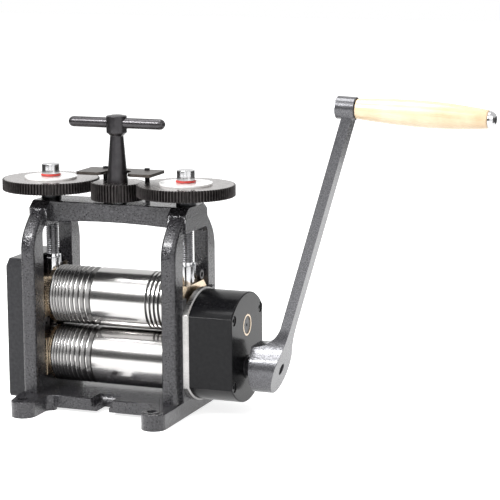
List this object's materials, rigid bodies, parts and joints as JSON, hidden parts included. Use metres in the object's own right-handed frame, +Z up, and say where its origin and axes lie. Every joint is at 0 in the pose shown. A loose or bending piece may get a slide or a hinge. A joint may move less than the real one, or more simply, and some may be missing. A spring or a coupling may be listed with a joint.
{
  "type": "rolling mill",
  "caption": "Hand-cranked bench rolling mill: two steel rolls in a cast frame, linked adjusting screws with dials, a reduction gearbox and a wooden crank grip.",
  "frame": {"origin": "centre of the four bench bolt holes, at the soles of the feet", "axes": "+X along the rolls towards the crank, +Y the way the work is fed (from the front), +Z up"},
  "size_m": [0.5084, 0.1882, 0.3192],
  "materials": {
    "cast_paint": "glossy dark grey hammertone enamel on cast iron, rough-cast top",
    "roll_steel": "hardened steel, ground and polished",
    "bronze": "machined bearing bronze, lightly tarnished",
    "spring_steel": "bright spring wire",
    "screw_steel": "bright turned and threaded steel",
    "gear_steel": "machined gear steel, satin, oiled",
    "dark_steel": "black oxide steel",
    "dial_white": "white faced engraved dial",
    "seal_red": "red moulded ring",
    "bright_steel": "machined bright steel",
    "plate_steel": "brushed plate",
    "box_black": "black anodised, smooth",
    "cover_paint": "grey gloss enamel",
    "crank_paint": "light grey hammertone enamel",
    "grip_wood": "varnished pale hardwood"
  },
  "bodies": {
    "frame": {"frame": "cast_paint", "block_lower_left": "bronze", "block_lower_right": "bronze", "spring_left": "spring_steel", "spring_right": "spring_steel", "nut_left": "dark_steel", "nut_right": "dark_steel", "stud": "bright_steel", "index_plate": "plate_steel", "standoffs": "bright_steel", "index_screws": "dark_steel", "gear_cover": "cover_paint", "cover_screws": "dark_steel", "back_plate": "plate_steel", "plate_screws": "dark_steel", "housing": "box_black", "housing_screws": "dark_steel", "bush_input": "bronze", "bush_jack_outer": "bronze", "bush_jack_inner": "bronze"},
    "handle": {"pinion": "gear_steel", "post": "dark_steel", "tee_bar": "dark_steel"},
    "upper_blocks": {"block_upper_left": "bronze", "hook_left": "bright_steel", "crossbolt_left": "dark_steel", "block_upper_right": "bronze", "hook_right": "bright_steel", "crossbolt_right": "dark_steel"},
    "left_screw": {"screw_left": "screw_steel", "gear_left": "gear_steel", "dial_left": "dial_white", "oring_left": "seal_red"},
    "right_screw": {"screw_right": "screw_steel", "gear_right": "gear_steel", "dial_right": "dial_white", "oring_right": "seal_red"},
    "crank": {"input_shaft": "dark_steel", "crank": "crank_paint", "hub_screw": "dark_steel", "grip_bolt": "screw_steel", "grip_nut": "bright_steel"},
    "grip": {"grip": "grip_wood"},
    "jackshaft": {"jackshaft": "bright_steel", "jack_gear": "gear_steel"},
    "lower_roll": {"roll_lower": "roll_steel", "roll_gear_lower": "gear_steel", "output_gear": "gear_steel"},
    "upper_roll": {"roll_upper": "roll_steel", "roll_gear_upper": "gear_steel"}
  },
  "joints": [
    {"name": "roll_lift", "type": "slide", "parent": "frame", "child": "upper_blocks", "axis": [0, 0, 1], "range_m": [-0.0009, 0.00337], "deforming": ["spring_left", "spring_right"]},
    {"name": "handle_turn", "type": "hinge", "parent": "frame", "child": "handle", "pos_m": [0, 0, 0.217], "axis": [0, 0, 1], "range_deg": [-300, 1121]},
    {"name": "left_screw_turn", "type": "hinge", "parent": "upper_blocks", "child": "left_screw", "pos_m": [-0.074, 0, 0.217], "axis": [0, 0, 1], "range_deg": [-608, 163]},
    {"name": "right_screw_turn", "type": "hinge", "parent": "upper_blocks", "child": "right_screw", "pos_m": [0.074, 0, 0.217], "axis": [0, 0, 1], "range_deg": [-608, 163]},
    {"name": "crank_turn", "type": "hinge", "parent": "frame", "child": "crank", "pos_m": [0.15, 0, 0.0485], "axis": [1, 0, 0], "continuous": true},
    {"name": "jackshaft_turn", "type": "hinge", "parent": "frame", "child": "jackshaft", "pos_m": [0.11, 0, 0.0905], "axis": [1, 0, 0], "continuous": true},
    {"name": "lower_roll_turn", "type": "hinge", "parent": "frame", "child": "lower_roll", "pos_m": [0, 0, 0.0485], "axis": [1, 0, 0], "continuous": true},
    {"name": "upper_roll_turn", "type": "hinge", "parent": "upper_blocks", "child": "upper_roll", "pos_m": [0, 0, 0.1085], "axis": [1, 0, 0], "continuous": true},
    {"name": "grip_spin", "type": "hinge", "parent": "crank", "child": "grip", "pos_m": [0.2404, 0, 0.3078], "axis": [0.999, 0, -0.0447], "continuous": true}
  ],
  "couplings": [
    {"joint": "handle_turn", "follows": "roll_lift", "rad_per_m": 5799.9},
    {"joint": "left_screw_turn", "follows": "roll_lift", "rad_per_m": -3141.6},
    {"joint": "right_screw_turn", "follows": "roll_lift", "rad_per_m": -3141.6},
    {"joint": "jackshaft_turn", "follows": "crank_turn", "ratio": -0.61538},
    {"joint": "lower_roll_turn", "follows": "crank_turn", "ratio": 0.27586},
    {"joint": "upper_roll_turn", "follows": "crank_turn", "ratio": -0.27586}
  ]
}
